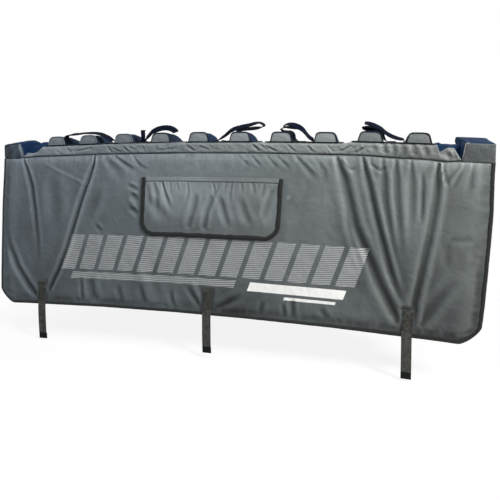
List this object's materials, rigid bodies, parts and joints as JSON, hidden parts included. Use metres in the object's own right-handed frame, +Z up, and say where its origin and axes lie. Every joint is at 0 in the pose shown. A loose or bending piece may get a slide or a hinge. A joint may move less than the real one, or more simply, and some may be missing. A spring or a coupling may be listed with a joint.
{
  "type": "tailgate bike pad",
  "caption": "Padded cover that hangs over a pickup tailgate, with paired foam bumpers and straps on top that hold bicycle frames, and an access flap.",
  "frame": {"origin": "middle of the collar's underside, where the pad rests on the tailgate's top edge", "axes": "+X to the right seen from outside the tailgate, -Y out of the pad's front, +Z up"},
  "size_m": [1.3981, 0.1191, 0.6584],
  "materials": {
    "coated_nylon": "dark grey-green coated nylon, soft sheen",
    "bumper_nylon": "grey coated nylon front with navy sides",
    "base_pad": "dark grey, matt",
    "edge_tape": "dark grosgrain tape",
    "webbing": "dark grey woven webbing",
    "strap_webbing": "black-navy woven webbing",
    "buckle_plastic": "black moulded plastic"
  },
  "bodies": {
    "root": {"outer_panel": "coated_nylon", "inner_panel": "coated_nylon", "top_collar": "coated_nylon", "end_block_left": "coated_nylon", "end_block_right": "coated_nylon", "access_flap": "coated_nylon", "frame_bumper_1": "bumper_nylon", "frame_bumper_2": "bumper_nylon", "frame_bumper_3": "bumper_nylon", "frame_bumper_4": "bumper_nylon", "frame_bumper_5": "bumper_nylon", "frame_bumper_6": "bumper_nylon", "frame_bumper_7": "bumper_nylon", "frame_bumper_8": "bumper_nylon", "frame_bumper_9": "bumper_nylon", "frame_bumper_10": "bumper_nylon", "cradle_base_1": "base_pad", "cradle_base_2": "base_pad", "cradle_base_3": "base_pad", "cradle_base_4": "base_pad", "cradle_base_5": "base_pad", "outer_binding": "edge_tape", "inner_binding": "edge_tape", "flap_binding": "edge_tape", "lower_strap_left": "webbing", "lower_strap_middle": "webbing", "lower_strap_right": "webbing", "buckle_tab_left": "webbing", "buckle_tab_middle": "webbing", "buckle_tab_right": "webbing", "frame_strap_1": "strap_webbing", "frame_strap_2": "strap_webbing", "frame_strap_3": "strap_webbing", "frame_strap_4": "strap_webbing", "frame_strap_5": "strap_webbing", "strap_tab_1": "strap_webbing", "strap_tab_2": "strap_webbing", "strap_tab_3": "strap_webbing", "strap_tab_4": "strap_webbing", "strap_tab_5": "strap_webbing", "buckle_left": "buckle_plastic", "buckle_middle": "buckle_plastic", "buckle_right": "buckle_plastic"}
  },
  "joints": []
}
